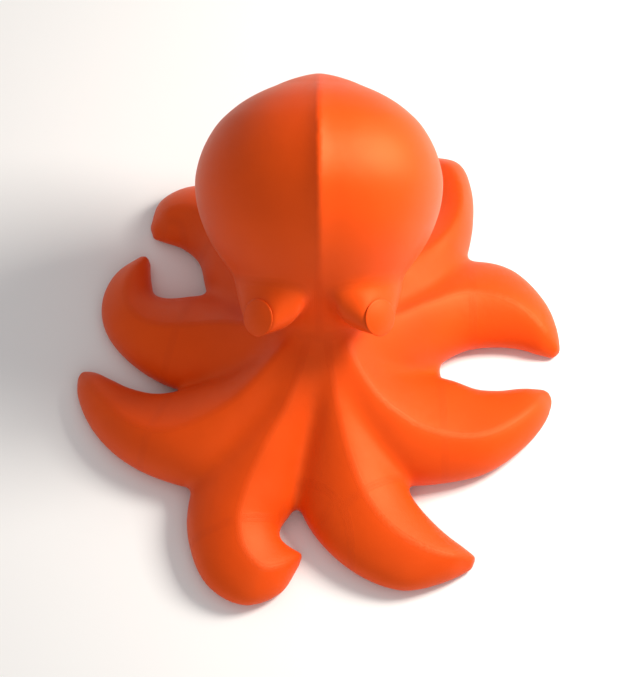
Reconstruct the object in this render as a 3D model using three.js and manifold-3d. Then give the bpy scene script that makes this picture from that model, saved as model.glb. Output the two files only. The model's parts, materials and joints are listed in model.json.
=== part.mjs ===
// Octopus soft kite: a ram-air show kite of sewn cloth, in its inflated shape and standing on its belly.
// Millimetres, +Z up, -Y to the front. It is drawn from the middle of the belly, and at the end the origin
// goes to the ground under the middle of the whole kite.
// Each cloth panel is a thin shell. The eight arms bend up and down at the soft cuffs at their roots.
import * as THREE from "three";
import { LoftGeometry } from "three/addons/geometries/LoftGeometry.js";
import { mergeVertices } from "three/addons/utils/BufferGeometryUtils.js";
import Module from "manifold-3d";

const wasm = await Module();
wasm.setup();

// ---- Overall sizes ----
const SPAN = 980; // across the arms, from side to side
const ROOT_HEIGHT = 215; // height of the arm crests where they meet under the head
const HEAD_WIDTH = 496; // across the head at its widest

// ---- Cloth and clearances ----
const SKIN = 3; // a cloth panel, thickened so that it is a solid
const SEAM = 0.5; // gap left between two panels
const FIT = 0.4; // gap between a panel and the piece that is sewn to its face
const UNDER_SEAM_Z = 8; // height of the seam that joins the top panels to the underside
const NECK_GAP = 1.2; // gap between the head gores and the body skin that they are sewn to
const SEWN_RIM = 8; // how far the body skin runs on inside the neck and the eye cones

// ---- Arms ----
const CUFF = 26; // length of the soft cuff, along the crest
const CUFF_GAP = 3; // between the cuff and the panels on both sides of it
const SIDE_SHARE = 0.3; // height of an arm's widest line, as a share of the crest height there
const TIP_LIFT = 3; // the underside rises by this much towards the tip
const RIDGE = 1.3; // across the arm: 2 is round, 1 is a straight-sided roof
const SHOULDER = 1.9; // the same, upwards
const SOLE = 3; // the same, for the flat underside
const TOP_STEPS = 3; // facets from the side up to the crest
const ARM_STATIONS = 7; // sections from cuff to tip
const ROOT_STATIONS = 6; // sections from the middle of the body to the cuff
const SOLE_STEPS = 2; // facets from the side down to the middle of the underside

// Crest height from root to tip, as [share of the way, share of the root height].
const CREST_HEIGHTS = [
  [0, 1.16], [0.07, 0.98], [0.14, 0.82], [0.3, 0.62], [0.46, 0.5],
  [0.64, 0.41], [0.8, 0.32], [0.92, 0.21], [1, 0.13],
];

// Each arm runs between three rails in plan: its crest, and its outlines to the left and right, looking
// outwards. The rails are drawn for a kite DRAWN_SPAN across. flex is the share of the way at which the arm bends.
const DRAWN_SPAN = 980;
const ARMS = [
  {
    name: "front_left", flex: 0.54,
    crest: [
      [-14, 20], [-62, -105], [-112, -190], [-143, -255], [-160, -325],
      [-148, -385], [-110, -420], [-68, -405], [-36, -368],
    ],
    left: [
      [30, -70], [-5, -150], [-30, -220], [-52, -275], [-76, -312],
      [-77, -330], [-68, -341], [-52, -350], [-30, -359],
    ],
    right: [
      [-80, -30], [-160, -95], [-225, -165], [-256, -235], [-262, -330],
      [-222, -436], [-150, -478], [-78, -452], [-38, -384],
    ],
  },
  {
    name: "left", flex: 0.46,
    crest: [
      [-40, 30], [-155, -83], [-240, -122], [-315, -132],
      [-380, -102], [-431, -46], [-466, 10], [-482, 48],
    ],
    left: [
      [-40, -110], [-110, -175], [-215, -225], [-320, -200],
      [-405, -147], [-462, -76], [-490, 0], [-491, 42],
    ],
    right: [[-100, 40], [-190, 10], [-262, -4], [-325, -10], [-381, 6], [-422, 30], [-454, 50], [-474, 57]],
  },
  {
    name: "back_left", flex: 0.42,
    crest: [
      [-50, 70], [-135, 75], [-205, 98], [-275, 106], [-342, 122],
      [-388, 170], [-392, 238], [-374, 292], [-354, 324],
    ],
    left: [
      [-90, -70], [-170, -30], [-235, -2], [-292, 6], [-375, 60],
      [-432, 134], [-446, 203], [-424, 276], [-368, 330],
    ],
    right: [
      [-30, 90], [-90, 150], [-165, 205], [-245, 216], [-305, 214],
      [-334, 224], [-341, 248], [-345, 284], [-346, 314],
    ],
  },
  {
    name: "rear_left", flex: 0.44,
    crest: [[-40, 130], [-110, 220], [-175, 300], [-228, 370], [-276, 410], [-316, 410], [-340, 386]],
    left: [[-120, 40], [-190, 130], [-230, 228], [-248, 306], [-282, 342], [-314, 358], [-344, 372]],
    right: [[10, 120], [-20, 220], [-80, 360], [-158, 458], [-256, 490], [-330, 456], [-351, 398]],
  },
  {
    name: "rear_right", flex: 0.43,
    crest: [[40, 130], [135, 205], [208, 268], [262, 328], [290, 396], [288, 470], [262, 530], [226, 556]],
    left: [[-10, 130], [30, 230], [100, 330], [172, 382], [208, 416], [214, 454], [206, 496], [208, 538]],
    right: [[130, 40], [225, 130], [286, 215], [302, 300], [318, 388], [318, 476], [294, 548], [236, 574]],
  },
  {
    name: "back_right", flex: 0.47,
    crest: [[50, 70], [148, 98], [225, 152], [298, 190], [370, 187], [425, 160], [462, 124], [485, 100]],
    left: [[30, 90], [90, 165], [165, 240], [306, 300], [394, 286], [462, 214], [487, 150], [493, 102]],
    right: [[120, -50], [190, 10], [245, 62], [300, 96], [358, 106], [410, 103], [450, 92], [478, 88]],
  },
  {
    name: "right", flex: 0.42,
    crest: [[40, 30], [112, -80], [188, -128], [262, -142], [332, -131], [394, -89], [441, -36], [466, 0]],
    left: [[110, 40], [165, 25], [215, 27], [270, 22], [318, 5], [362, 4], [414, 13], [457, 15]],
    right: [
      [30, -120], [95, -180], [170, -215], [262, -208],
      [342, -182], [420, -118], [462, -55], [474, -12],
    ],
  },
  {
    name: "front_right", flex: 0.43,
    crest: [[14, 20], [36, -110], [60, -205], [95, -285], [146, -344], [207, -378], [268, -388], [305, -380]],
    left: [
      [90, -60], [135, -130], [168, -200], [188, -248],
      [220, -290], [256, -326], [291, -352], [314, -367],
    ],
    right: [
      [-30, -70], [-40, -150], [-48, -230], [-12, -325],
      [75, -412], [165, -446], [252, -424], [304, -394],
    ],
  },
];
// The web panels run round the body in the same order, each from one arm's crest to the next one's.
const WEBS = ["front_left", "left", "rear_left", "rear", "rear_right", "right", "front_right", "front"];

const FRONT_SEAM = (150 / 180) * Math.PI; // turn from the back to the front_left arm's root

// ---- Body hub, between the arms: [radius, height] from the belly up to the crown of the dome ----
const BELLY_RADIUS = 232;
const HUB_SIDES = 32;
const HUB_PROFILE = [[BELLY_RADIUS, 0], [252, 12], [248, 34], [208, 64], [150, 100], [100, 150], [0, 190]];

// ---- Head ----
const HEAD_AXIS = [[468, 489], [264, 392], [152, 318], [104, 246], [84, 186], [76, 130]]; // [y, z] from crown to neck
// Half-width from crown to neck, as [share of the way, share of the widest half-width].
const HEAD_WIDTHS = [
  [0, 0.016], [0.01, 0.14], [0.03, 0.29], [0.065, 0.48], [0.14, 0.74], [0.22, 0.885], [0.33, 0.985], [0.42, 1],
  [0.53, 0.94], [0.63, 0.82], [0.71, 0.66], [0.78, 0.5], [0.85, 0.39], [0.92, 0.33], [1, 0.3],
];
// Depth from crown to neck, as a share of the width.
const HEAD_DEPTHS = [
  [0, 0.9], [0.3, 0.88], [0.55, 0.84], [0.64, 0.74], [0.72, 0.68], [0.79, 0.74], [0.86, 0.92], [0.93, 1.06],
  [1, 1.1],
];
// The two gores meet in a soft tent over the round of the head: its rise, as a share of the depth.
const KEEL_RISES = [[0, 0.12], [0.4, 0.12], [0.62, 0.02], [0.7, 0], [1, 0]];
const KEEL_SPREAD = 0.32; // how fast the tent falls away, as a share of the width
const CROWN = 3; // half-width at the very crown
const HEAD_STATIONS = 14;
const HEAD_SIDES = 18;

// ---- Inner diaphragms of the head ----
const RIB = 2;
const RIB_GAP = 4; // from a diaphragm to the skin and to the next diaphragm
const RIB_VENT = 34; // radius of the holes that let the air past
const VENT_CUT = 20; // length of the cutters for those holes
const VENT_SIDES = 24;
const KEEL_VENTS_AT = [0.26, 0.6]; // places of the keel diaphragm's holes, as shares of the way from crown to neck
const CROSS_RIB_AT = 0.42; // place of the cross diaphragms, as a share of the way from crown to neck

// ---- Eyes ----
const EYE_ROOT = { at: [72, 172, 356], radius: 124, facing: [0.3, -0.85, 0.4] };
const EYE_WAIST = { at: [99, 44, 341], radius: 73, facing: [0.5, -0.62, 0.6] };
const EYE_TIP = { at: [119, -4, 335], radius: 37, facing: [0.62, -0.44, 0.65] };
const EYE_SIDES = 14;
const DISC = 3; // thickness of the flat disc on the end of an eye

// ---- Belly inlet, and the bridle loops in it ----
const TURN_SIDES = 28; // facets round the inlet
const INLET = { mouth: 118, roof: 74, depth: 46, wall: 4 };
const PATCH = { inner: 46, outer: 72, thick: 3 };
const NET = { cell: 36, bar: 4, thick: 3.5 };
const LOOP = { span: 32, drop: 20, web: 3, width: 20, round: 6, sides: ["right", "rear", "left", "front"] };

// ---- Helpers ----
const UP = new THREE.Vector3(0, 0, 1);
const ROOM = 900; // larger than the whole kite, for cutting blocks
const lerp = THREE.MathUtils.lerp;

// Value at t in a list of [t, value] pairs, with straight runs between them.
function along(list, t) {
  const last = list.length - 1;
  const i = t >= list[last][0] ? last : Math.max(list.findIndex(([at]) => at > t), 1);
  const [[t0, a], [t1, b]] = [list[i - 1], list[i]];
  return lerp(a, b, THREE.MathUtils.clamp((t - t0) / (t1 - t0), 0, 1));
}

const steps = (from, to, count) => Array.from({ length: count }, (_, i) => lerp(from, to, i / (count - 1)));

function solid(geometry) {
  const bare = new THREE.BufferGeometry();
  bare.setAttribute("position", geometry.attributes.position).setIndex(geometry.index);
  const merged = mergeVertices(bare, 1e-4);
  return new wasm.Manifold(
    new wasm.Mesh({
      numProp: 3,
      vertProperties: new Float32Array(merged.attributes.position.array),
      triVerts: new Uint32Array(merged.index.array),
    }),
  );
}

const loft = (sections) => solid(new LoftGeometry(sections, { capStart: true, capEnd: true }));
const join = (solids) => solids.reduce((all, next) => all.add(next));

function geometryOf(manifold) {
  const { numVert, numProp, vertProperties, triVerts } = manifold.getMesh();
  const points = [];
  for (let i = 0; i < numVert; i++) points.push(...vertProperties.subarray(i * numProp, i * numProp + 3));
  return new THREE.BufferGeometry()
    .setAttribute("position", new THREE.Float32BufferAttribute(points, 3))
    .setIndex(new THREE.BufferAttribute(triVerts, 1));
}

// A solid joined with copies of itself that are moved up and to all four sides, to leave a gap over it.
function withGap(manifold, gap) {
  const sides = [[1, 0], [0, 1], [-1, 0], [0, -1]];
  const copies = sides.map(([x, y]) => solid(geometryOf(manifold).translate(x * gap, y * gap, gap)));
  return join([manifold, ...copies]);
}

const material = (color, roughness) => new THREE.MeshStandardMaterial({ color, roughness, metalness: 0 });
const CLOTH = material(0xd8500f, 0.5);
const UNDER_CLOTH = material(0xb83c0c, 0.55);
const WEBBING = material(0x9a3208, 0.7);
const NETTING = material(0x8a2c08, 0.7);

const group = new THREE.Group();
function add(name, manifold, finish) {
  const mesh = new THREE.Mesh(geometryOf(manifold), finish);
  mesh.name = name;
  group.add(mesh);
}

// The separate pieces of a cut solid, without crumbs, in the order of a measure of their middles.
function pieces(manifold, count, measure) {
  const middle = (piece) => {
    const { min, max } = piece.boundingBox();
    return new THREE.Vector3(...min).add(new THREE.Vector3(...max)).multiplyScalar(0.5);
  };
  return manifold
    .decompose()
    .sort((a, b) => b.volume() - a.volume())
    .slice(0, count)
    .sort((a, b) => measure(middle(a)) - measure(middle(b)));
}

// A block that fills the room between two heights.
const layer = (low, high) =>
  solid(new THREE.BoxGeometry(2 * ROOM, 2 * ROOM, high - low).translate(0, 0, (low + high) / 2));

// A thin upright wall through x = 0.
const centreWall = (thick) => solid(new THREE.BoxGeometry(thick, 2 * ROOM, 2 * ROOM));

// ---- Arms ----
const scale = SPAN / DRAWN_SPAN;
const curve = (points) => new THREE.CatmullRomCurve3(points, false, "centripetal");
const rail = (points) => curve(points.map(([x, y]) => new THREE.Vector3(x, y, 0).multiplyScalar(scale)));

// The three rail points of an arm, where shares below 0 and above 1 run straight on past its ends.
function railsAt({ rails }, t) {
  const inside = THREE.MathUtils.clamp(t, 0, 1);
  const onward = rails.crest.getTangent(inside).multiplyScalar((t - inside) * rails.crest.getLength());
  return ["crest", "left", "right"].map((name) => rails[name].getPoint(inside).add(onward));
}

function makeArm({ name, flex, crest, left, right }) {
  const rails = { crest: rail(crest), left: rail(left), right: rail(right) };
  const cuffShare = CUFF / rails.crest.getLength();
  const gapShare = CUFF_GAP / rails.crest.getLength();
  return { name, rails, flex, gapShare, rootEnd: flex - cuffShare / 2, tipStart: flex + cuffShare / 2 };
}

// One section across an arm, with each wall moved in by inset.
function armSection(arm, t, inset) {
  const [crest, ...edges] = railsAt(arm, t);
  const crestZ = ROOT_HEIGHT * along(CREST_HEIGHTS, t);
  const sideZ = SIDE_SHARE * crestZ;
  const [left, right] = edges.map((edge) => edge.lerp(crest, Math.min(inset / edge.distanceTo(crest), 0.8)));
  const top = crest.clone().setZ(Math.max(crestZ - 1.25 * inset, sideZ + 1));
  const bottom = left.clone().lerp(right, 0.5).setZ(Math.min(TIP_LIFT * t + inset, sideZ - 1));
  // A quarter of the outline from a side towards the peak, which it stops short of.
  const quarter = (side, peak, count, across, upward) =>
    steps(0, 1, count + 1).slice(0, -1).map((share) => {
      const angle = (share * Math.PI) / 2;
      const point = peak.clone().lerp(side, Math.cos(angle) ** (2 / across));
      return point.setZ(lerp(sideZ, peak.z, Math.sin(angle) ** (2 / upward)));
    });
  const backwards = (points) => points.slice(1).reverse();
  return [
    ...quarter(left, top, TOP_STEPS, RIDGE, SHOULDER),
    top,
    ...backwards(quarter(right, top, TOP_STEPS, RIDGE, SHOULDER)),
    ...quarter(right, bottom, SOLE_STEPS, 2, SOLE),
    bottom,
    ...backwards(quarter(left, bottom, SOLE_STEPS, 2, SOLE)),
  ];
}

const armPart = (arm, stations, inset) => loft(stations.map((t) => armSection(arm, t, inset)));

// The same stations with the ends moved out, for what has to reach past the panels that it cuts.
const PAST = 0.02;
const longer = ([first, ...rest]) => [first - PAST, ...rest.slice(0, -1), rest[rest.length - 1] + PAST];

// The cut along the crest, down to the under seam.
const crestCut = (arm, stations) =>
  loft(
    stations.map((t) => {
      const [crest, left, right] = railsAt(arm, t);
      const half = left.sub(right).setLength(SEAM / 2);
      const [from, to] = [crest.clone().add(half), crest.clone().sub(half)];
      return [from.setZ(UNDER_SEAM_Z), from.clone().setZ(ROOM), to.clone().setZ(ROOM), to.setZ(UNDER_SEAM_Z)];
    }),
  );

// The cut that parts the top panels from the underside.
const underCut = layer(UNDER_SEAM_Z - SEAM / 2, UNDER_SEAM_Z + SEAM / 2);

const arms = ARMS.map(makeArm);

function addArm(arm) {
  const stations = steps(arm.tipStart, 1, ARM_STATIONS);
  const closedEnd = 1 - SKIN / arm.rails.crest.getLength();
  const cuts = longer(stations);
  const shell = armPart(arm, stations, 0)
    .subtract(armPart(arm, [...cuts.slice(0, -1), closedEnd], SKIN))
    .subtract(crestCut(arm, cuts))
    .subtract(underCut);
  const [under, ...tops] = pieces(shell, 3, (middle) => middle.z);
  const leftSide = arm.rails.left.getPoint(lerp(arm.tipStart, 1, 0.5));
  const gapTo = (piece) => {
    const { min, max } = piece.boundingBox();
    return Math.hypot((min[0] + max[0]) / 2 - leftSide.x, (min[1] + max[1]) / 2 - leftSide.y);
  };
  const [left, right] = tops.sort((a, b) => gapTo(a) - gapTo(b));
  add(`arm_${arm.name}_skin_left`, left, CLOTH);
  add(`arm_${arm.name}_skin_right`, right, CLOTH);
  add(`arm_${arm.name}_skin_under`, under, UNDER_CLOTH);
  const cuffEnds = [arm.rootEnd + arm.gapShare, arm.tipStart - arm.gapShare];
  const cuff = armPart(arm, cuffEnds, 0).subtract(armPart(arm, longer(cuffEnds), SKIN));
  add(`arm_${arm.name}_cuff`, cuff, CLOTH);
}

// ---- Body ----
function hubSolid(inset) {
  const crown = HUB_PROFILE[HUB_PROFILE.length - 1][1];
  const insetPoint = ([r, z]) => new THREE.Vector2(r ? r - inset : 0, z ? z - (inset * z) / crown : inset);
  const profile = [new THREE.Vector2(0, inset), ...HUB_PROFILE.map(insetPoint)];
  return solid(new THREE.LatheGeometry(profile, HUB_SIDES).rotateX(Math.PI / 2));
}

const rootStations = (arm) => steps(0, arm.rootEnd, ROOT_STATIONS);

// The hub and the fixed roots of the arms, as one solid, with each wall moved in by inset.
const bodyEnvelope = (inset) =>
  join([hubSolid(inset), ...arms.map((arm) => armPart(arm, rootStations(arm), inset))]);

// The room that the cuffs and the moving arms take, with a gap round them.
const movingRoom = () =>
  join(arms.map((arm) => armPart(arm, [arm.rootEnd, ...steps(arm.tipStart, 1, ARM_STATIONS)], -CUFF_GAP)));

// The hollow inside the body, which runs out through the ends of the arm roots.
function bodyHollow() {
  const roots = arms.map((arm) => armPart(arm, longer(rootStations(arm)), SKIN));
  return join([hubSolid(SKIN), ...roots]);
}

// ---- Head ----
const headAxis = curve(HEAD_AXIS.map(([y, z]) => new THREE.Vector3(0, y, z)));
const axisLength = headAxis.getLength();

// The head as a solid, with its walls moved in by inset. Every inset tapers to the same small crown.
function headSolid(inset) {
  const sections = steps(0, 1, HEAD_STATIONS).map((share, i) => {
    const at = i ? share ** 1.5 : Math.max(inset, 0) / axisLength;
    const centre = headAxis.getPointAt(at);
    const down = headAxis.getTangentAt(at);
    const brow = new THREE.Vector3(0, down.z, -down.y);
    const width = (HEAD_WIDTH / 2) * along(HEAD_WIDTHS, at);
    const depth = width * along(HEAD_DEPTHS, at);
    const [halfWidth, halfDepth] = i ? [width - inset, depth - inset] : [CROWN, CROWN];
    const rise = along(KEEL_RISES, at);
    return Array.from({ length: HEAD_SIDES }, (_, k) => {
      const angle = (k / HEAD_SIDES) * 2 * Math.PI;
      const [across, ahead] = [Math.sin(angle), Math.cos(angle)];
      const tent = rise * Math.max(ahead, 0) * Math.exp(-Math.abs(across) / KEEL_SPREAD);
      return centre.clone().addScaledVector(brow, halfDepth * (ahead + tent)).setX(-halfWidth * across);
    });
  });
  return loft(sections);
}

function headParts() {
  const outside = withGap(bodyEnvelope(0), NECK_GAP);
  const eyes = [-1, 1].map((side) => ({ side, outer: eyeSolid(side, 0), inner: eyeSolid(side, SKIN) }));
  const eyeHoles = join(eyes.map(({ side }) => eyeSolid(side, SEWN_RIM)));
  const shell = headSolid(0).subtract(headSolid(SKIN));
  const gores = shell.subtract(outside).subtract(eyeHoles).subtract(centreWall(SEAM));
  const [left, right] = pieces(gores, 2, (middle) => middle.x);
  add("head_gore_left", left, CLOTH);
  add("head_gore_right", right, CLOTH);
  for (const { side, outer, inner } of eyes) {
    const name = side < 0 ? "left" : "right";
    const [cone] = pieces(outer.subtract(inner).subtract(headSolid(-FIT)), 1, (middle) => middle.x);
    add(`eye_cone_${name}`, cone, CLOTH);
    add(`eye_disc_${name}`, eyeDisc(side), CLOTH);
  }
  addRibs(outside);
}

// ---- Eyes: side is -1 for the left and 1 for the right ----
function ring({ at, radius, facing }, side, inset, ahead) {
  const out = new THREE.Vector3(facing[0] * side, facing[1], facing[2]).normalize();
  const centre = new THREE.Vector3(at[0] * side, at[1], at[2]).addScaledVector(out, ahead);
  const across = out.clone().cross(UP).normalize();
  const upward = out.clone().cross(across);
  const reach = radius - inset;
  return Array.from({ length: EYE_SIDES }, (_, k) => {
    const angle = (k / EYE_SIDES) * 2 * Math.PI;
    const point = centre.clone().addScaledVector(across, reach * Math.cos(angle));
    return point.addScaledVector(upward, reach * Math.sin(angle));
  });
}

function eyeSolid(side, inset) {
  const past = inset > 0 ? SKIN : 0;
  const ends = [ring(EYE_ROOT, side, inset, -past), ring(EYE_TIP, side, inset, past)];
  return loft([ends[0], ring(EYE_WAIST, side, inset, 0), ends[1]]);
}

const eyeDisc = (side) => loft([ring(EYE_TIP, side, 0, FIT), ring(EYE_TIP, side, 0, FIT + DISC)]);

// ---- Diaphragms inside the head ----
// A cutter for a round vent through a diaphragm, standing along Y.
const vent = () => new THREE.CylinderGeometry(RIB_VENT, RIB_VENT, VENT_CUT, VENT_SIDES);

function addRibs(outside) {
  const eyeRoom = join([-1, 1].map((side) => eyeSolid(side, -RIB_GAP)));
  const room = headSolid(SKIN + RIB_GAP).subtract(outside).subtract(eyeRoom);
  const keelVents = KEEL_VENTS_AT.map((share) => {
    const { y, z } = headAxis.getPointAt(share);
    return solid(vent().rotateZ(Math.PI / 2).translate(0, y, z));
  });
  const [keel] = pieces(room.intersect(centreWall(RIB)).subtract(join(keelVents)), 1, (middle) => middle.x);
  add("head_keel_rib", keel, UNDER_CLOTH);
  const centre = headAxis.getPointAt(CROSS_RIB_AT);
  const turn = new THREE.Quaternion().setFromUnitVectors(UP, headAxis.getTangentAt(CROSS_RIB_AT));
  const atCross = (geometry) => solid(geometry.applyQuaternion(turn).translate(centre.x, centre.y, centre.z));
  const plate = atCross(new THREE.BoxGeometry(ROOM, ROOM, RIB));
  const portAt = (x) => atCross(vent().rotateX(Math.PI / 2).translate(x, 0, 0));
  const ports = [-HEAD_WIDTH / 4, HEAD_WIDTH / 4].map(portAt);
  const halves = room.intersect(plate).subtract(centreWall(RIB + 2 * RIB_GAP)).subtract(join(ports));
  const [left, right] = pieces(halves, 2, (middle) => middle.x);
  add("head_cross_rib_left", left, UNDER_CLOTH);
  add("head_cross_rib_right", right, UNDER_CLOTH);
}

// ---- Body panels ----
function addBody() {
  const reach = INLET.mouth + INLET.wall + FIT;
  const inletHole = solid(new THREE.CylinderGeometry(reach, reach, 4 * SKIN, TURN_SIDES).rotateX(Math.PI / 2));
  const shell = bodyEnvelope(0)
    .subtract(bodyHollow())
    .subtract(movingRoom())
    .subtract(headSolid(SEWN_RIM))
    .subtract(inletHole)
    .subtract(underCut);
  const cuts = join(arms.map((arm) => crestCut(arm, longer(rootStations(arm)))));
  const below = layer(-ROOM, UNDER_SEAM_Z);
  add("belly_panel", pieces(shell.intersect(below), 1, (middle) => middle.z)[0], UNDER_CLOTH);
  const turnFromFront = (middle) => (Math.atan2(middle.x, middle.y) + FRONT_SEAM + 2 * Math.PI) % (2 * Math.PI);
  const webs = pieces(shell.subtract(below).subtract(cuts), WEBS.length, turnFromFront);
  webs.forEach((web, i) => add(`web_${WEBS[i]}`, web, CLOTH));
}

// ---- Belly inlet ----
// A closed profile of [radius, height] points turned round the upright.
function turned(profile) {
  const points = [...profile, profile[0]].map(([r, z]) => new THREE.Vector2(r, z));
  return solid(new THREE.LatheGeometry(points, TURN_SIDES).rotateX(Math.PI / 2));
}

const flatRing = (inner, outer, low, high) => turned([[inner, low], [outer, low], [outer, high], [inner, high]]);

function addNet(low, radius) {
  const { cell, bar, thick } = NET;
  const bars = [];
  for (let at = -Math.floor(radius / cell) * cell; at < radius; at += cell) {
    const length = 2 * Math.sqrt(radius ** 2 - at ** 2) - bar;
    bars.push(solid(new THREE.BoxGeometry(length, bar, thick).translate(0, at, low + thick / 2)));
    bars.push(solid(new THREE.BoxGeometry(bar, length, thick).translate(at, 0, low + thick / 2)));
  }
  add("inlet_net", join([flatRing(radius - 2 * bar, radius, low, low + thick), ...bars]), NETTING);
}

// The outline of a webbing loop seen from its side: a box that is rounded at its lower corners.
function loopOutline(path, half, bottom, top, round) {
  path.moveTo(-half + round, bottom).lineTo(half - round, bottom);
  path.quadraticCurveTo(half, bottom, half, bottom + round);
  path.lineTo(half, top).lineTo(-half, top).lineTo(-half, bottom + round);
  path.quadraticCurveTo(-half, bottom, -half + round, bottom);
  return path;
}

// The bridle loops hang from the underside of the patch.
function addLoops(underPatch) {
  const { span, drop, web, width, round, sides } = LOOP;
  const height = drop + 2 * web;
  const outline = loopOutline(new THREE.Shape(), span / 2 + web, 0, height, round + web);
  outline.holes.push(loopOutline(new THREE.Path(), span / 2, web, height - web, round));
  const [outwards, across] = [new THREE.Vector3(1, 0, 0), new THREE.Vector3(0, 1, 0)];
  const band = new THREE.ExtrudeGeometry(outline, { depth: width, bevelEnabled: false, curveSegments: 4 })
    .translate(0, underPatch - FIT - height, -width / 2)
    .applyMatrix4(new THREE.Matrix4().makeBasis(across, UP, outwards))
    .translate((PATCH.inner + PATCH.outer) / 2, 0, 0);
  sides.forEach((name, i) => add(`bridle_loop_${name}`, solid(band.clone().rotateZ((i * Math.PI) / 2)), WEBBING));
}

function addInlet() {
  const { mouth, roof, depth, wall } = INLET;
  add("inlet_wall", turned([[mouth, 0], [mouth + wall, 0], [roof + wall, depth], [roof, depth]]), UNDER_CLOTH);
  add("bridle_patch", flatRing(PATCH.inner, PATCH.outer, depth - PATCH.thick, depth), WEBBING);
  addNet(depth + FIT, PATCH.outer + wall);
  addLoops(depth - PATCH.thick);
}

headParts();
addBody();
addInlet();
for (const arm of arms) addArm(arm);

// The origin goes to the ground under the middle of the whole kite.
const middle = new THREE.Box3().setFromObject(group).getCenter(new THREE.Vector3());
group.position.set(-middle.x, -middle.y, 0);
export default group;
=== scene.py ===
"""Octopus soft kite: its sewn cloth skin, air inlet and bridle loops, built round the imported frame.

Metres, +Z up, -Y to the front. Shapes are drawn in millimetres from the middle of the belly, as the CAD is.
"""

import json
import math

import bmesh
import bpy
import numpy as np
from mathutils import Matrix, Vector
from mathutils.bvhtree import BVHTree
from mathutils.kdtree import KDTree


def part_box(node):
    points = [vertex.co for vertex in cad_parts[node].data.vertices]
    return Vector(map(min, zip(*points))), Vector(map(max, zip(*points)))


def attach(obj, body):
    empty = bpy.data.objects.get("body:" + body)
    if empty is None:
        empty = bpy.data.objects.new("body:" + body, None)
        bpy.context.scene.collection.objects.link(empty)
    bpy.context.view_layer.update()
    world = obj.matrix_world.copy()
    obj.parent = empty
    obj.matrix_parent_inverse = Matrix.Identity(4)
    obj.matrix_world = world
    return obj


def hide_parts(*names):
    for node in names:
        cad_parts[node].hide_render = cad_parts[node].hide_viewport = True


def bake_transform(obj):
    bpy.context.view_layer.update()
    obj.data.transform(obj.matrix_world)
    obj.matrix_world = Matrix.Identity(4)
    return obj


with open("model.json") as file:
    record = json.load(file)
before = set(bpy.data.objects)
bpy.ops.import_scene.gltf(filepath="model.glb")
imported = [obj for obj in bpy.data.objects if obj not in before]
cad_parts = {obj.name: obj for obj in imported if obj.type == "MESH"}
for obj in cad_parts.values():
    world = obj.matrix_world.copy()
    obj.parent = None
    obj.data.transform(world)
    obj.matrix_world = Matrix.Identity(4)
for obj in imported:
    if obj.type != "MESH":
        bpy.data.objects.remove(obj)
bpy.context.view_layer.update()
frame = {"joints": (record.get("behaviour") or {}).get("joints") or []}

MM = 0.001
inlet_low, inlet_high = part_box("inlet_wall")
BELLY = np.array([(inlet_low[0] + inlet_high[0]) / 2, (inlet_low[1] + inlet_high[1]) / 2, 0.0])

# ---- The kite's lines, in millimetres from the middle of the belly ----
ROOT_HEIGHT = 215  # of the arm crests, where they meet under the head
SIDE_SHARE = 0.3  # height of an arm's widest line, as a share of its crest height
TIP_LIFT = 3
RIDGE, SHOULDER, SOLE = 1.3, 1.9, 3  # across the arm, upwards, and for the flat underside: 2 is round
CREST_HEIGHTS = [
    (0, 1.16), (0.07, 0.98), (0.14, 0.82), (0.3, 0.62), (0.46, 0.5),
    (0.64, 0.41), (0.8, 0.32), (0.92, 0.21), (1, 0.13),
]
UNDER_SEAM_Z = 8

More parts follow.
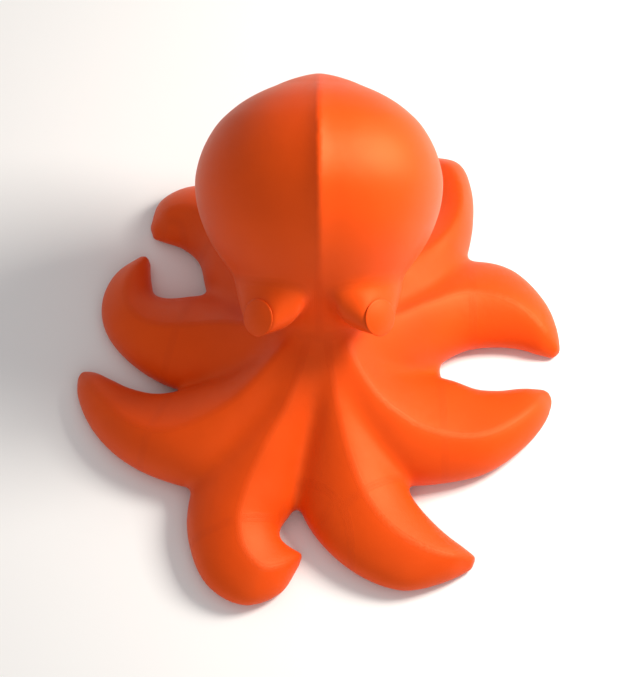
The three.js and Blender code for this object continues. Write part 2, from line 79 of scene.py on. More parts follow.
# Each arm runs between three rails in plan: its crest, and its outlines to the left and right, looking outwards.
ARMS = {
    "front_left": {
        "crest": [
            (-14, 20), (-62, -105), (-112, -190), (-143, -255), (-160, -325),
            (-148, -385), (-110, -420), (-68, -405), (-36, -368),
        ],
        "left": [
            (30, -70), (-5, -150), (-30, -220), (-52, -275), (-76, -312),
            (-77, -330), (-68, -341), (-52, -350), (-30, -359),
        ],
        "right": [
            (-80, -30), (-160, -95), (-225, -165), (-256, -235), (-262, -330),
            (-222, -436), (-150, -478), (-78, -452), (-38, -384),
        ],
    },
    "left": {
        "crest": [
            (-40, 30), (-155, -83), (-240, -122), (-315, -132),
            (-380, -102), (-431, -46), (-466, 10), (-482, 48),
        ],
        "left": [
            (-40, -110), (-110, -175), (-215, -225), (-320, -200),
            (-405, -147), (-462, -76), (-490, 0), (-491, 42),
        ],
        "right": [
            (-100, 40), (-190, 10), (-262, -4), (-325, -10),
            (-381, 6), (-422, 30), (-454, 50), (-474, 57),
        ],
    },
    "back_left": {
        "crest": [
            (-50, 70), (-135, 75), (-205, 98), (-275, 106), (-342, 122),
            (-388, 170), (-392, 238), (-374, 292), (-354, 324),
        ],
        "left": [
            (-90, -70), (-170, -30), (-235, -2), (-292, 6), (-375, 60),
            (-432, 134), (-446, 203), (-424, 276), (-368, 330),
        ],
        "right": [
            (-30, 90), (-90, 150), (-165, 205), (-245, 216), (-305, 214),
            (-334, 224), (-341, 248), (-345, 284), (-346, 314),
        ],
    },
    "rear_left": {
        "crest": [(-40, 130), (-110, 220), (-175, 300), (-228, 370), (-276, 410), (-316, 410), (-340, 386)],
        "left": [(-120, 40), (-190, 130), (-230, 228), (-248, 306), (-282, 342), (-314, 358), (-344, 372)],
        "right": [(10, 120), (-20, 220), (-80, 360), (-158, 458), (-256, 490), (-330, 456), (-351, 398)],
    },
    "rear_right": {
        "crest": [
            (40, 130), (135, 205), (208, 268), (262, 328),
            (290, 396), (288, 470), (262, 530), (226, 556),
        ],
        "left": [
            (-10, 130), (30, 230), (100, 330), (172, 382),
            (208, 416), (214, 454), (206, 496), (208, 538),
        ],
        "right": [
            (130, 40), (225, 130), (286, 215), (302, 300),
            (318, 388), (318, 476), (294, 548), (236, 574),
        ],
    },
    "back_right": {
        "crest": [
            (50, 70), (148, 98), (225, 152), (298, 190),
            (370, 187), (425, 160), (462, 124), (485, 100),
        ],
        "left": [(30, 90), (90, 165), (165, 240), (306, 300), (394, 286), (462, 214), (487, 150), (493, 102)],
        "right": [(120, -50), (190, 10), (245, 62), (300, 96), (358, 106), (410, 103), (450, 92), (478, 88)],
    },
    "right": {
        "crest": [
            (40, 30), (112, -80), (188, -128), (262, -142),
            (332, -131), (394, -89), (441, -36), (466, 0),
        ],
        "left": [(110, 40), (165, 25), (215, 27), (270, 22), (318, 5), (362, 4), (414, 13), (457, 15)],
        "right": [
            (30, -120), (95, -180), (170, -215), (262, -208),
            (342, -182), (420, -118), (462, -55), (474, -12),
        ],
    },
    "front_right": {
        "crest": [
            (14, 20), (36, -110), (60, -205), (95, -285),
            (146, -344), (207, -378), (268, -388), (305, -380),
        ],
        "left": [
            (90, -60), (135, -130), (168, -200), (188, -248),
            (220, -290), (256, -326), (291, -352), (314, -367),
        ],
        "right": [
            (-30, -70), (-40, -150), (-48, -230), (-12, -325),
            (75, -412), (165, -446), (252, -424), (304, -394),
        ],
    },
}
# The web panel between an arm and the next one, looking down, in the arms' order.
WEBS = ["front_left", "left", "rear_left", "rear", "rear_right", "right", "front_right", "front"]
WEB_AFTER = dict(zip(ARMS, WEBS))

HUB_PROFILE = [(0, 0), (232, 0), (252, 12), (248, 34), (208, 64), (150, 100), (100, 150), (0, 190)]

HEAD_HALF_WIDTH = 248
HEAD_AXIS = [(0, 468, 489), (0, 264, 392), (0, 152, 318), (0, 104, 246), (0, 84, 186), (0, 76, 130)]
HEAD_WIDTHS = [
    (0, 0.016), (0.01, 0.14), (0.03, 0.29), (0.065, 0.48), (0.14, 0.74), (0.22, 0.885), (0.33, 0.985), (0.42, 1),
    (0.53, 0.94), (0.63, 0.82), (0.71, 0.66), (0.78, 0.5), (0.85, 0.39), (0.92, 0.33), (1, 0.3),
]
HEAD_DEPTHS = [
    (0, 0.9), (0.3, 0.88), (0.55, 0.84), (0.64, 0.74), (0.72, 0.68),
    (0.79, 0.74), (0.86, 0.92), (0.93, 1.06), (1, 1.1),
]
KEEL_RISES = [(0, 0.12), (0.4, 0.12), (0.62, 0.02), (0.7, 0), (1, 0)]  # of the tent in which the gores meet
KEEL_SPREAD = 0.32
SEAM_RISES = [(0, 3), (0.06, 7), (0.5, 7), (0.64, 3), (0.72, 0), (1, 0)]  # of the fold along the keel seam
SEAM_SPREAD = 13
CROWN = 3

# Each eye is a tapered cone through three rings: [middle, radius, the way it faces], for the right eye.
EYE_RINGS = [
    ((72, 172, 356), 124, (0.3, -0.85, 0.4)),
    ((99, 44, 341), 73, (0.5, -0.62, 0.6)),
    ((119, -4, 335), 37, (0.62, -0.44, 0.65)),
]
DISC = 3  # thickness of the flat disc on the end of an eye

# ---- Fineness of the skin ----
COARSE = 7 * MM  # spacing of its points while the webs are filled out
FINE = 4 * MM  # and at the end
ARM_STATIONS, ARM_QUARTER = 56, 9
HEAD_STATIONS, HEAD_SIDES = 60, 240
EYE_SIDES = 64
HUB_STEPS = 96
NECK, NECK_ROOM = (0, 40, 215), (190, 190, 110)  # where the cloth is drawn tight under the head


# ---- Cutting, in metres where a length is multiplied by MM ----
NEAR_END = 0.08  # a cut that passes this near a point, as a share of the edge, goes through the point
CREST_REACH = 14 * MM
CUFF = 26  # length of the soft cuff at an arm's root
CREST_SAMPLES = 160
PAST_TIP = 20  # samples on the line carried on past the tip
RUN_ON = 60  # how far a crest's line is carried on past the tip
SAME_SECTION = 0.07  # of an arm's length, either side of its cuff
NECK_ABOVE = 0.14  # the head's cloth starts above this height
EYES_BETWEEN = (0.22, 0.44)  # heights that the eye cones lie between
BEND = 45 * MM  # a length out from an arm's cuff, reckoned for each arm's pieces and then left unused

# ---- Sewn pieces and seams ----
DISC_OFF, DISC_CROWN = 0.2, 5  # gap behind an eye disc, and how far its face is pushed out
DISC_FACE = 0.9  # share of the radius at which the rounded rim ends
ROUND_EDGE = 0.7
ROUND_SHARE = math.pi / 4
SEAM_LOOK = 60  # farthest distance that is kept
FAR_OFF = (9, 9, 9)
SEAM_WIDTH = 7.5
STITCH = 5.2 * MM
WEAVE_PITCH, TAPE_PITCH = 1.1 * MM, 3.2 * MM
ORANGE = ((0.66, 0.05, 0.002), (0.84, 0.078, 0.003))
RIBS = ["head_keel_rib", "head_cross_rib_left", "head_cross_rib_right"]
LOOPS = [f"bridle_loop_{side}" for side in ("right", "rear", "left", "front")]


# ---- Curves ----
def spline(points, shares):
    """Places on the smooth curve through some points, where each span takes an equal share."""
    points = np.array(points, float)
    padded = np.vstack([2 * points[0] - points[1], points, 2 * points[-1] - points[-2]])
    at = np.clip(np.asarray(shares, float), 0, 1) * (len(points) - 1)
    i = np.minimum(at.astype(int), len(points) - 2)
    w = (at - i)[:, None]
    a, b, c, d = (padded[i + k] for k in range(4))
    ab, bc, cd = (np.sqrt(np.linalg.norm(v - u, axis=1))[:, None] for u, v in ((a, b), (b, c), (c, d)))
    leave = bc * ((b - a) / ab - (c - a) / (ab + bc) + (c - b) / bc)
    arrive = bc * ((c - b) / bc - (d - b) / (bc + cd) + (d - c) / cd)
    return b + w * leave + w**2 * (3 * (c - b) - 2 * leave - arrive) + w**3 * (2 * (b - c) + leave + arrive)


def along(pairs, shares, soften=0.0):
    """Values between [share, value] pairs, with their corners rounded off over the softening width."""
    at, values = zip(*pairs)
    shares = np.asarray(shares, float)
    reach = np.minimum(soften, shares)  # none at the very start, so that a tip stays a tip
    return np.mean([np.interp(shares + reach * d, at, values) for d in np.linspace(-1, 1, 9)], axis=0)


def mix(a, b, share):
    return a + (b - a) * share


# ---- Solids that the skin is wrapped round ----
def loft(bm, sections):
    """Extrudes a capped ring from section to section."""
    ring = bmesh.ops.create_circle(bm, cap_ends=True, segments=len(sections[0]))["verts"]
    cap = ring[0].link_faces[0]
    for i, section in enumerate(sections):
        if i:
            inner = cap
            grown = bmesh.ops.extrude_face_region(bm, geom=[cap])["geom"]
            cap = next(part for part in grown if isinstance(part, bmesh.types.BMFace))
            if i > 1 and inner.is_valid:
                bm.faces.remove(inner)
        for vert, point in zip(cap.verts, section):
            vert.co = point


def placed(points):
    """Points in millimetres from the middle of the belly, as metres in the frame."""
    return np.asarray(points) * MM + BELLY


def arm_sections(rails):
    """The rings across an arm, from its root to its tip."""
    shares = np.linspace(0, 1, ARM_STATIONS)
    flat = [spline(rails[name], shares) for name in ("crest", "left", "right")]
    crest, left, right = (np.column_stack([line, np.zeros(len(shares))]) for line in flat)
    heights = ROOT_HEIGHT * along(CREST_HEIGHTS, shares, 0.05)
    crest[:, 2] = heights
    left[:, 2] = right[:, 2] = SIDE_SHARE * heights
    bottom = (left + right) / 2
    bottom[:, 2] = TIP_LIFT * shares

    def quarter(side, peak, across, upward):
        """The outline from a side towards the peak, which it stops short of."""
        points = []
        for turn in np.linspace(0, math.pi / 2, ARM_QUARTER + 1)[:-1]:
            point = mix(peak, side, math.cos(turn) ** (2 / across))
            point[:, 2] = mix(side[:, 2], peak[:, 2], math.sin(turn) ** (2 / upward))
            points.append(point)
        return points

    def rise(side):
        return quarter(side, crest, RIDGE, SHOULDER)

    def fall(side):
        return quarter(side, bottom, 2, SOLE)

    ring = [*rise(left), crest, *rise(right)[:0:-1], *fall(right), bottom, *fall(left)[:0:-1]]
    return placed(np.stack(ring, axis=1))


def head_sections():
    """The rings round the head, from its crown to its neck."""
    line = spline(HEAD_AXIS, np.linspace(0, 1, 400))
    run = np.concatenate([[0], np.cumsum(np.linalg.norm(np.diff(line, axis=0), axis=1))])
    run /= run[-1]
    at = np.linspace(0, 1, HEAD_STATIONS) ** 1.5
    centre = np.stack([np.interp(at, run, line[:, k]) for k in range(3)], axis=1)
    down = np.gradient(line, axis=0)
    down = np.stack([np.interp(at, run, down[:, k]) for k in range(3)], axis=1)
    down /= np.linalg.norm(down, axis=1)[:, None]
    brow = np.stack([np.zeros(len(at)), down[:, 2], -down[:, 1]], axis=1)
    width = HEAD_HALF_WIDTH * along(HEAD_WIDTHS, at, 0.05)
    depth = width * along(HEAD_DEPTHS, at, 0.05)
    width[0] = depth[0] = CROWN
    rise, seam_rise = along(KEEL_RISES, at, 0.06), along(SEAM_RISES, at, 0.05)
    rings = []
    for turn in np.linspace(0, 2 * math.pi, HEAD_SIDES, endpoint=False):
        # The two gores meet in a soft tent over the round of the head.
        sine, cosine = abs(math.sin(turn)), math.cos(turn)
        tent = rise * max(cosine, 0) * math.exp(-sine / KEEL_SPREAD)
        seam = seam_rise * np.exp(-width * sine / SEAM_SPREAD) * (cosine > 0)
        point = centre + brow * (depth * (cosine + tent) + seam)[:, None]
        point[:, 0] = -width * math.copysign(1, math.sin(turn)) * sine
        rings.append(point)
    return placed(np.stack(rings, axis=1))


def eye_ring(at, radius, facing, side, ahead=0.0):
    """A ring round an eye. The side is -1 for the left and 1 for the right."""
    out = Vector((facing[0] * side, facing[1], facing[2])).normalized()
    across = out.cross(Vector((0, 0, 1))).normalized()
    upward = out.cross(across)
    middle = Vector((at[0] * side, at[1], at[2])) + out * ahead
    turns = np.linspace(0, 2 * math.pi, EYE_SIDES, endpoint=False)
    return placed([middle + radius * (math.cos(a) * across + math.sin(a) * upward) for a in turns])


def hub(bm):
    """The body between the arms: its profile spun about the upright through the belly."""
    points = placed([(r, 0, z) for r, z in HUB_PROFILE])
    verts = [bm.verts.new(point) for point in points]
    edges = [bm.edges.new(pair) for pair in zip(verts, verts[1:])]
    bmesh.ops.spin(
        bm, geom=verts + edges, cent=BELLY, axis=(0, 0, 1), angle=2 * math.pi, steps=HUB_STEPS, use_merge=True,
        use_normal_flip=False,
    )


def surface_of(*makers):
    """A search tree over closed shapes, for the distance to them."""
    bm = bmesh.new()
    for make in makers:
        make(bm)
    tree = BVHTree.FromBMesh(bm)
    bm.free()
    return tree


def head(bm):
    loft(bm, head_sections())


def limb(rails):
    return lambda bm: loft(bm, arm_sections(rails))


def eye(side):
    return lambda bm: loft(bm, [eye_ring(*ring, side) for ring in EYE_RINGS])


limbs = [limb(rails) for rails in ARMS.values()]
eyes = [eye(side) for side in (-1, 1)]


# ---- The skin as one closed surface ----
def remeshed(mesh, size):
    """One even closed surface round all the shapes in a mesh."""
    shell = bpy.data.objects.new("shell", mesh)
    bpy.context.scene.collection.objects.link(shell)
    wrap = shell.modifiers.new("wrap", "REMESH")
    wrap.mode, wrap.voxel_size, wrap.adaptivity = "VOXEL", size, 0.0
    result = bpy.data.meshes.new_from_object(shell.evaluated_get(bpy.context.evaluated_depsgraph_get()))
    bpy.data.objects.remove(shell)
    return result


def arrays(mesh):
    points = np.zeros(len(mesh.vertices) * 3)
    edges = np.zeros(len(mesh.edges) * 2, np.int32)
    corners = np.zeros(len(mesh.loops), np.int32)
    mesh.vertices.foreach_get("co", points)
    mesh.edges.foreach_get("vertices", edges)
    mesh.loops.foreach_get("vertex_index", corners)
    return points.reshape(-1, 3), edges.reshape(-1, 2), corners.reshape(-1, 4)


def gather(index, values, count):
    """Sums of rows of values by index."""
    return np.stack([np.bincount(index, values[:, k], count) for k in range(values.shape[1])], axis=1)


def at_neck(points):
    """1 on the skin round the neck, where the head runs out into the arms, and 0 away from it."""
    away = np.linalg.norm((points - placed(NECK)) / (np.array(NECK_ROOM) * MM), axis=1)
    return np.clip(2 * (1 - away), 0, 1)


def relaxed(points, edges, quads, rounds, hollows):
    """The points drawn towards their neighbours' middles; with hollows, only outwards, as cloth spans a valley."""
    count = len(points)
    ends = np.concatenate([edges[:, 0], edges[:, 1]])
    others = np.concatenate([edges[:, 1], edges[:, 0]])
    links = np.bincount(ends, minlength=count)[:, None]
    on_ground = points[:, 2] < 4 * MM
    for _ in range(rounds):
        pull = gather(ends, points[others], count) / links - points
        if hollows:
            across = points[quads[:, 2]] - points[quads[:, 0]]
            back = points[quads[:, 3]] - points[quads[:, 1]]
            facing = np.repeat(np.cross(across, back), 4, axis=0)
            normal = gather(quads.ravel(), facing, count)
            normal /= np.maximum(np.linalg.norm(normal, axis=1), 1e-12)[:, None]
            outward = (pull * normal).sum(1)
            slide = pull - outward[:, None] * normal
            pull = np.maximum(outward, 0)[:, None] * normal + 0.3 * slide
        pull[on_ground, 2] = 0
        points = points + 0.5 * pull
        points[:, 2] = np.maximum(points[:, 2], 0)
    return points


def skin_mesh():
    bm = bmesh.new()
    for make in [hub, head, *limbs, *eyes]:
        make(bm)
    bmesh.ops.recalc_face_normals(bm, faces=bm.faces)
    mesh = bpy.data.meshes.new("skin")
    bm.to_mesh(mesh)
    bm.free()
    for size, neck_rounds, hollow_rounds, soft_rounds in ((COARSE, 70, 20, 0), (FINE, 0, 12, 4)):
        mesh = remeshed(mesh, size)
        points, edges, quads = arrays(mesh)
        tight = relaxed(points, edges, quads, neck_rounds, True)
        points = mix(points, tight, at_neck(points)[:, None])
        points = relaxed(points, edges, quads, hollow_rounds, True)
        points = relaxed(points, edges, quads, soft_rounds, False)
        mesh.vertices.foreach_set("co", points.ravel())
        mesh.update()
    return mesh


# ---- Cutting the skin into its sewn panels ----
class Cutter:
    """The closed skin, whose faces are given to panels by cuts along lines where a measure is zero."""

    def __init__(self, mesh):
        self.bm = bmesh.new()
        self.bm.from_mesh(mesh)
        self.panel = self.bm.faces.layers.int.new("panel")
        self.names = ["top"]

    def number(self, name):
        if name not in self.names:
            self.names.append(name)
        return self.names.index(name)

    def faces(self, name):
        wanted = self.number(name)
        return [face for face in self.bm.faces if face[self.panel] == wanted]

    def cut(self, faces, measure, reach=None):
        """Splits the faces along the line where the measure of their points is zero."""
        verts = list(dict.fromkeys(vert for face in faces for vert in face.verts))
        values = dict(zip(verts, measure(np.array([vert.co for vert in verts]))))
        crossed = []
        for edge in dict.fromkeys(edge for face in faces for edge in face.edges):
            a, b = edge.verts
            u, v = values[a], values[b]
            if u * v < 0 and (reach is None or max(abs(u), abs(v)) < reach):
                crossed.append((edge, a, b, u / (u - v)))
        marks = {}
        for edge, a, b, share in crossed:
            if share < NEAR_END or share > 1 - NEAR_END:
                marks[a if share < NEAR_END else b] = True
                continue
            marks[bmesh.utils.edge_split(edge, a, share)[1]] = True
        bmesh.ops.connect_verts(self.bm, verts=list(marks))

    def give(self, faces, name, measure):
        """Gives a panel the faces whose middles have a positive measure."""
        centres = np.array([face.calc_center_median() for face in faces])
        wanted = self.number(name)
        for face, value in zip(faces, measure(centres)):
            if value > 0:
                face[self.panel] = wanted

    def divide(self, source, name, measure, above=0.0, below=9.0):
        """Parts a panel in two. Only the faces between two heights can go to the new one."""

        def inside():
            return [face for face in self.faces(source) if above <= face.calc_center_median().z < below]

        self.cut(inside(), measure)
        self.give(inside(), name, measure)


class Arm:
    """An arm's crest in plan, and the plane across it where it leaves the body."""

    def __init__(self, name, rails):
        self.name, self.body = name, f"arm_{name}"
        shares = np.linspace(0, 1, CREST_SAMPLES)
        line = spline(rails["crest"], shares)
        onward = (line[-1] - line[-2]) / np.linalg.norm(line[-1] - line[-2])
        line = np.vstack([line, line[-1] + onward * np.linspace(3, RUN_ON, PAST_TIP)[:, None]])
        self.shares = np.concatenate([shares, np.full(PAST_TIP, 1.0)])
        self.line = line * MM + BELLY[:2]
        heading = np.gradient(self.line, axis=0)
        self.heading = heading / np.linalg.norm(heading, axis=1)[:, None]
        joint = next(joint for joint in frame["joints"] if joint["child"] == self.body)
        hinge, axis = np.array(joint["pos_m"]), joint["axis"]
        self.out = np.array([-axis[1], axis[0], 0.0])
        self.start = hinge - self.out * CUFF / 2 * MM
        from_start = np.linalg.norm(self.line[:CREST_SAMPLES] - self.start[:2], axis=1)
        self.share = self.shares[np.argmin(from_start)]

    def look(self, points):
        """For each point, in plan: how far the crest is, how far left of it, and the share along it."""
        square = sum((points[:, k, None] - self.line[None, :, k]) ** 2 for k in (0, 1))
        i = np.argmin(square, axis=1)
        gap = points[:, :2] - self.line[i]
        left = self.heading[i, 0] * gap[:, 1] - self.heading[i, 1] * gap[:, 0]
        return np.linalg.norm(gap, axis=1), left, self.shares[i]

    def beyond(self, points):
        return (points - self.start) @ self.out


def centres_of(faces):
    return np.array([face.calc_center_median() for face in faces])


def by_arm(faces, arms):
    """For each arm: the faces that are nearest to its crest, and what it sees of them."""
    centres = centres_of(faces)
    looks = [arm.look(centres) for arm in arms]
    nearest = np.argmin([away for away, _, _ in looks], axis=0)
    groups = []
    for k, look in enumerate(looks):
        mine = np.flatnonzero(nearest == k)
        groups.append(([faces[i] for i in mine], *(column[mine] for column in look)))
    return groups


def distances(tree):
    """A measure: how far points are from a shape."""
    return lambda points: np.array([tree.find_nearest(Vector(point))[3] for point in points])


def cut_panels(mesh):
    cutter = Cutter(mesh)
    from_head, from_eyes = distances(surface_of(head)), distances(surface_of(*eyes))
    from_body = distances(surface_of(hub, *limbs))
    mouth = (inlet_high[0] - inlet_low[0]) / 2

    def radius(points):
        return np.linalg.norm(points[:, :2] - BELLY[:2], axis=1)

    def everywhere(points):
        return points[:, 0] * 0 + 1

    def off_body(points):
        return from_body(points) - np.minimum(from_head(points), from_eyes(points))

    cutter.divide("top", "under", lambda points: UNDER_SEAM_Z * MM - points[:, 2])
    cutter.divide("under", "mouth", lambda points: mouth - radius(points))
    cutter.divide("top", "head", off_body, above=NECK_ABOVE)
    cutter.divide("head", "eyes", lambda points: from_head(points) - from_eyes(points), *EYES_BETWEEN)
    cutter.divide("head", "head_gore_left", lambda points: -points[:, 0] + BELLY[0])
    cutter.give(cutter.faces("head"), "head_gore_right", everywhere)
    cutter.divide("eyes", "eye_cone_left", lambda points: -points[:, 0] + BELLY[0])
    cutter.give(cutter.faces("eyes"), "eye_cone_right", everywhere)
    arms = [Arm(name, rails) for name, rails in ARMS.items()]
    for arm, (faces, away, _, _) in zip(arms, by_arm(cutter.faces("top"), arms)):
        near_crest = [face for face, gap in zip(faces, away) if gap < CREST_REACH]
        cutter.cut(near_crest, lambda points: arm.look(points)[1], CREST_REACH)
    for part in ("top", "under"):
        for arm, (faces, _, _, share) in zip(arms, by_arm(cutter.faces(part), arms)):
            near_cuff = [face for face, at in zip(faces, share) if abs(at - arm.share) < SAME_SECTION]
            cutter.cut(near_cuff, arm.beyond, CREST_REACH)
    for part in ("top", "under"):
        for k, (faces, _, lefts, shares) in enumerate(by_arm(cutter.faces(part), arms)):
            arm = arms[k]
            beyond = arm.beyond(centres_of(faces))
            for face, left, share, ahead in zip(faces, lefts, shares, beyond):
                past = ahead if abs(share - arm.share) < SAME_SECTION else share - arm.share
                if past > 0:
                    side = "under" if part == "under" else "left" if left > 0 else "right"
                    name = f"arm_{arm.name}_skin_{side}"
                elif part == "under":
                    name = "belly_panel"
                else:
                    name = f"web_{WEB_AFTER[arm.name if left < 0 else list(ARMS)[k - 1]]}"
                face[cutter.panel] = cutter.number(name)
    return cutter, arms


def linked(name, mesh):
    thing = bpy.data.objects.new(name, mesh)
    bpy.context.scene.collection.objects.link(thing)
    return thing


def panel_pieces(cutter):
    """One piece for each panel, all shaded as parts of the one skin."""
    bm = cutter.bm
    bm.normal_update()
    bm.verts.index_update()
    points = np.array([vert.co for vert in bm.verts])
    normals = np.array([vert.normal for vert in bm.verts])
    pieces = {}
    members = {}
    for face in bm.faces:
        members.setdefault(cutter.names[face[cutter.panel]], []).append([vert.index for vert in face.verts])
    for name, faces in members.items():
        if name == "mouth":
            continue
        used = sorted({i for face in faces for i in face})
        number = {i: n for n, i in enumerate(used)}
        mesh = bpy.data.meshes.new(f"{name}_cloth")
        mesh.from_pydata(points[used], [], [[number[i] for i in face] for face in faces])
        mesh.polygons.foreach_set("use_smooth", [True] * len(mesh.polygons))
        mesh.normals_split_custom_set_from_vertices(normals[used])
        pieces[name] = linked(f"{name}_cloth", mesh)
    return pieces


cutter, arms = cut_panels(skin_mesh())
panels = panel_pieces(cutter)
for name, piece in panels.items():
    arm = next((arm for arm in arms if name.startswith(arm.body + "_")), None)
    if arm:
        arm.start + arm.out * BEND
        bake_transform(piece)
    else:
        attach(piece, "root")
    extra = [f"{arm.body}_cuff"] if arm and name.endswith("skin_left") else []
    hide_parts(name, *extra)


# ---- Pieces sewn to the skin ----
def finished(bm, name, body="root"):
    """A smooth-shaded piece with its faces pointing outwards."""
    bmesh.ops.recalc_face_normals(bm, faces=bm.faces)
    mesh = bpy.data.meshes.new(name)
    bm.to_mesh(mesh)
    bm.free()
    mesh.polygons.foreach_set("use_smooth", [True] * len(mesh.polygons))
    piece = linked(name, mesh)
    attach(piece, body)
    return piece


def eye_disc(name, side):
    """The flat disc that closes an eye: a rounded rim and a face that the air pushes out a little."""
    at, radius, facing = EYE_RINGS[-1]
    bm = bmesh.new()
    rings = [(0.98, 0), (1, 0.5), (0.98, 0.85), (DISC_FACE, 1)]
    rings += [(share, 1 + DISC_CROWN * (1 - (share / DISC_FACE) ** 2) / DISC) for share in (0.72, 0.5, 0.28, 0.1)]
    loft(bm, [eye_ring(at, radius * share, facing, side, DISC_OFF + DISC * up) for share, up in rings])
    start = Vector(eye_ring(at, radius, facing, side, DISC_OFF).mean(axis=0))
    ends = [face for face in bm.faces if len(face.verts) == EYE_SIDES]
    back = min(ends, key=lambda face: (face.calc_center_median() - start).length)
    bmesh.ops.delete(bm, geom=[back], context="FACES_ONLY")
    return finished(bm, name)


discs = {}
for name, side in (("eye_disc_left", -1), ("eye_disc_right", 1)):
    discs[name] = eye_disc(f"{name}_cloth", side)
    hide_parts(name)


def softened(node, edge):
    """A copy of a thin node with its loose triangles merged and its edges rounded, as folded cloth is."""
    bm = bmesh.new()
    bm.from_mesh(bpy.data.objects[node].data)
    bmesh.ops.remove_doubles(bm, verts=bm.verts, dist=0.01 * MM)
    bmesh.ops.dissolve_limit(bm, angle_limit=math.radians(2), verts=bm.verts, edges=bm.edges)
    sharp = [e for e in bm.edges if len(e.link_faces) == 2 and e.calc_face_angle() > math.radians(40)]
    bmesh.ops.bevel(
        bm, geom=sharp, offset=edge * MM, affect="EDGES", segments=2, profile=0.5, material=-1, clamp_overlap=True
    )
    bmesh.ops.triangulate(bm, faces=bm.faces)
    piece = finished(bm, f"{node}_sewn")
    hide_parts(node)
    return piece


SEWN_SLOTS = {name: "rib_cloth" for name in RIBS} | {name: "webbing" for name in LOOPS}
SEWN_SLOTS |= {"inlet_wall": "under_cloth", "bridle_patch": "webbing", "inlet_net": "net"}
sewn = {name: softened(name, ROUND_EDGE) for name in SEWN_SLOTS}


for piece in discs.values():
    across = 2 * EYE_RINGS[-1][1] * MM
    ROUND_SHARE * across**2


# ---- Seams ----
def mark_seams(piece):
    """Keeps, at each point, how far the panel's sewn edge is, for the seam's stitches."""
    mesh = piece.data
    bm = bmesh.new()
    bm.from_mesh(mesh)
    ends = [edge for edge in bm.edges if edge.is_boundary]
    tree = KDTree(2 * len(ends) + 1)
    for edge in ends:
        tree.insert(edge.verts[0].co, edge.index)
        tree.insert((edge.verts[0].co + edge.verts[1].co) / 2, edge.index)
    tree.insert(FAR_OFF, 0)  # so that a panel with no edge still finds something
    tree.balance()
    away = [min(tree.find(vert.co)[2], SEAM_LOOK * MM) / MM for vert in bm.verts]
    bm.free()
    marks = mesh.attributes.new("from_seam", "FLOAT", "POINT")
    marks.data.foreach_set("value", np.array(away, np.float32))


for piece in panels.values():
    mark_seams(piece)


# ---- Materials ----
class Amount:
    """A value in a material: sums written on it add Math nodes."""

    def __init__(self, finish, socket):
        self.finish, self.socket = finish, socket

    def reckon(self, operation, *values):
        return self.finish.node("ShaderNodeMath", {"operation": operation}, dict(enumerate(values)))

    def __add__(self, other):
        return self.reckon("ADD", self, other)

    def __sub__(self, other):
        return self.reckon("SUBTRACT", self, other)

    def __rsub__(self, other):
        return self.reckon("SUBTRACT", other, self)

    def __mul__(self, other):
        return self.reckon("MULTIPLY", self, other)

    def __truediv__(self, other):
        return self.reckon("DIVIDE", self, other)

    __radd__, __rmul__ = __add__, __mul__

    def wave(self):
        return self.reckon("SINE", self)

    def size(self):
        """Its size, whichever its sign."""
        return self.reckon("ABSOLUTE", self)

    def held(self):
        """Kept between 0 and 1."""
        return self.finish.node("ShaderNodeClamp", {}, {"Value": self})


class Finish:
    """A cloth's material, built node by node."""

    def __init__(self, name, **uniform):
        self.material = bpy.data.materials.new(name)
        self.material.use_nodes = True
        self.tree = self.material.node_tree
        self.shader = self.tree.nodes["Principled BSDF"]
        for socket, value in uniform.items():
            self.shader.inputs[socket.replace("_", " ")].default_value = value

    def feed(self, socket, value):
        if isinstance(value, Amount):
            self.tree.links.new(value.socket, socket)
        else:
            socket.default_value = value

    def node(self, kind, settings, sockets, output=0):
        made = self.tree.nodes.new(kind)
        for name, value in settings.items():
            setattr(made, name, value)
        for name, value in sockets.items():
            self.feed(made.inputs[name], value)
        return Amount(self, made.outputs[output])

    def tint(self, share, low, high):
        """A colour between two."""
        return self.node("ShaderNodeMix", {"data_type": "RGBA"}, {0: share, 6: (*low, 1), 7: (*high, 1)}, output=2)

    def noise(self, place, scale, detail=2.0):
        return self.node("ShaderNodeTexNoise", {}, {"Vector": place, "Scale": scale, "Detail": detail})

    def place(self):
        return self.node("ShaderNodeTexCoord", {}, {}, output="Object")

    def axes(self, place):
        made = self.tree.nodes.new("ShaderNodeSeparateXYZ")
        self.feed(made.inputs[0], place)
        return [Amount(self, made.outputs[k]) for k in range(3)]

    def bump(self, height, distance):
        normal = self.node("ShaderNodeBump", {}, {"Height": height, "Distance": distance, "Strength": 1.0})
        self.give("Normal", normal)

    def give(self, socket, value):
        self.feed(self.shader.inputs[socket], value)


def plain_weave(finish, place, pitch):
    """The over and under of fine threads, in whichever directions the surface runs."""
    x, y, z = ((axis * (2 * math.pi / pitch)).wave() for axis in finish.axes(place))
    return (x * y + y * z + z * x) / 3


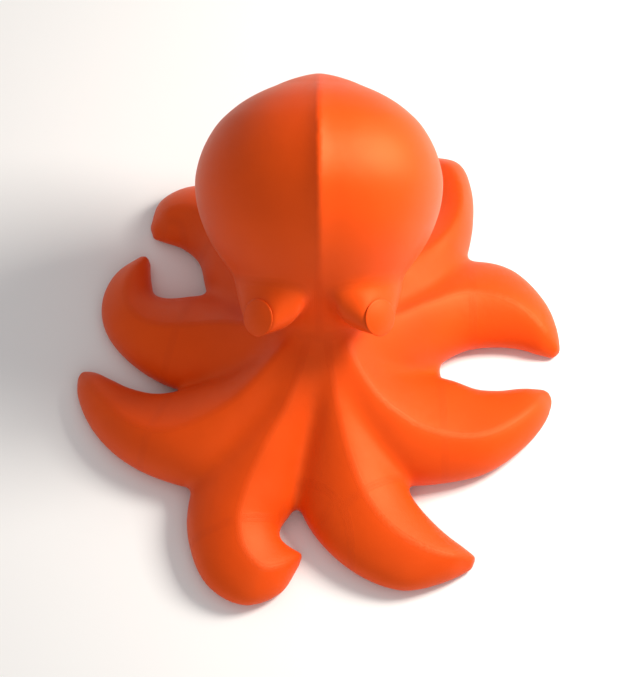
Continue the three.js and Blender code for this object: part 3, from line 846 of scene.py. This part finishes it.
def kite_cloth(name, dark, light, seamed):
    """Satin nylon: a soft sheen, a fine weave, faint creases, and at its edges a felled seam, stitched twice."""
    finish = Finish(name, Sheen_Weight=0.08, Sheen_Roughness=0.4, Sheen_Tint=(1, 0.45, 0.2, 1))
    finish.shader.inputs["Specular IOR Level"].default_value = 0.5
    finish.shader.inputs["Specular Tint"].default_value = (1, 0.5, 0.22, 1)
    place = finish.place()
    weave = plain_weave(finish, place, WEAVE_PITCH)
    grain = finish.noise(place, 420.0)
    mottle = finish.noise(place, 7.0, 3.0)
    creases = finish.noise(place, 26.0, 4.0)
    height = weave * 0.25 + grain * 0.5 + creases * 2.2
    share = (mottle * 0.8 + grain * 0.25 + creases * 0.1).held()
    if seamed:
        gap = finish.node("ShaderNodeAttribute", {"attribute_name": "from_seam"}, {}, output="Fac")
        fell = (1 - (gap - SEAM_WIDTH) / 1.5).held()
        x, y, z = finish.axes(place)
        beat = (((x + y * 1.3 + z * 0.7) * (2 * math.pi / STITCH)).wave() * 3).held()
        first = (1 - (gap - 1.6).size() / 0.9).held()
        second = (1 - (gap - SEAM_WIDTH + 1.4).size() / 0.9).held()
        stitches = (first + second).held() * beat
        height = height + fell * 0.5 - stitches * 0.8
        share = (share - fell * 0.1 - stitches * 0.25).held()
    finish.give("Base Color", finish.tint(share, dark, light))
    finish.give("Roughness", mottle * 0.08 + grain * 0.06 + 0.38)
    finish.bump(height, 0.3 * MM)
    return finish.material


def webbing(name, dark, light):
    """Flat woven tape: close ribs across it."""
    finish = Finish(name, Sheen_Weight=0.15)
    place = finish.place()
    ribs = plain_weave(finish, place, TAPE_PITCH)
    grain = finish.noise(place, 900.0)
    finish.give("Base Color", finish.tint((ribs * 0.5 + grain).held(), dark, light))
    finish.give("Roughness", grain * 0.2 + 0.6)
    finish.bump(ribs + grain * 0.4, 0.4 * MM)
    return finish.material


panel_cloth = kite_cloth("orange_satin_nylon", *ORANGE, True)
disc_cloth = kite_cloth("orange_eye_disc_nylon", *ORANGE, False)
rib_cloth = kite_cloth("orange_rib_nylon", *ORANGE, False)
tape = webbing("orange_webbing", (0.3, 0.035, 0.002), (0.55, 0.07, 0.004))
net_cord = webbing("black_netting", (0.008, 0.008, 0.009), (0.03, 0.03, 0.03))
for name, piece in panels.items():
    piece.data.materials.append(panel_cloth)
for piece in discs.values():
    piece.data.materials.append(disc_cloth)
for name, piece in sewn.items():
    looks = net_cord if name == "inlet_net" else rib_cloth if name in RIBS or name == "inlet_wall" else tape
    piece.data.materials.append(looks)

# ---- Stage, lights and camera ----
bm = bmesh.new()
bmesh.ops.create_grid(bm, x_segments=1, y_segments=1, size=8)
floor_mesh = bpy.data.meshes.new("floor")
bm.to_mesh(floor_mesh)
bm.free()
floor = bpy.data.objects.new("floor", floor_mesh)
bpy.context.scene.collection.objects.link(floor)
floor_finish = bpy.data.materials.new("floor")
floor_finish.use_nodes = True
floor_shader = floor_finish.node_tree.nodes["Principled BSDF"]
floor_shader.inputs["Base Color"].default_value = (0.9, 0.9, 0.9, 1)
floor_shader.inputs["Roughness"].default_value = 0.9
floor_mesh.materials.append(floor_finish)


def aim(thing, place, target):
    thing.location = place
    thing.rotation_euler = (Vector(target) - Vector(place)).to_track_quat("-Z", "Y").to_euler()


def area_light(name, place, target, power, size, colour):
    light = bpy.data.lights.new(name, "AREA")
    light.energy, light.size, light.color = power, size, colour
    lamp = bpy.data.objects.new(name, light)
    bpy.context.scene.collection.objects.link(lamp)
    aim(lamp, place, target)


area_light("key", (1.75, 0.5, 1.75), (0.1, 0, 0.2), 84, 0.9, (1, 0.94, 0.86))
area_light("fill", (0.5, -3.5, 3.0), (0, 0, 0.2), 26, 3.0, (1, 0.97, 0.95))

world = bpy.data.worlds.new("studio")
world.use_nodes = True
world.node_tree.nodes["Background"].inputs["Color"].default_value = (1, 1, 1, 1)
world.node_tree.nodes["Background"].inputs["Strength"].default_value = 0.46
bpy.context.scene.world = world
bpy.context.scene.view_settings.view_transform = "Standard"

CAMERA_DISTANCE = 9.0
CAMERA_RISE = math.radians(60)
AIM = (2, 41.6, 174)
FRAME_LONG_SIDE = 1.354  # what the frame's long side takes in, at the target
lens = bpy.data.cameras.new("camera")
lens.sensor_width = 36
lens.lens = lens.sensor_width * CAMERA_DISTANCE / FRAME_LONG_SIDE
lens.clip_end = 50
camera = bpy.data.objects.new("camera", lens)
bpy.context.scene.collection.objects.link(camera)
target = Vector(placed(AIM))
reach = CAMERA_DISTANCE * Vector((0, -math.cos(CAMERA_RISE), math.sin(CAMERA_RISE)))
aim(camera, target + reach, target)
bpy.context.scene.camera = camera
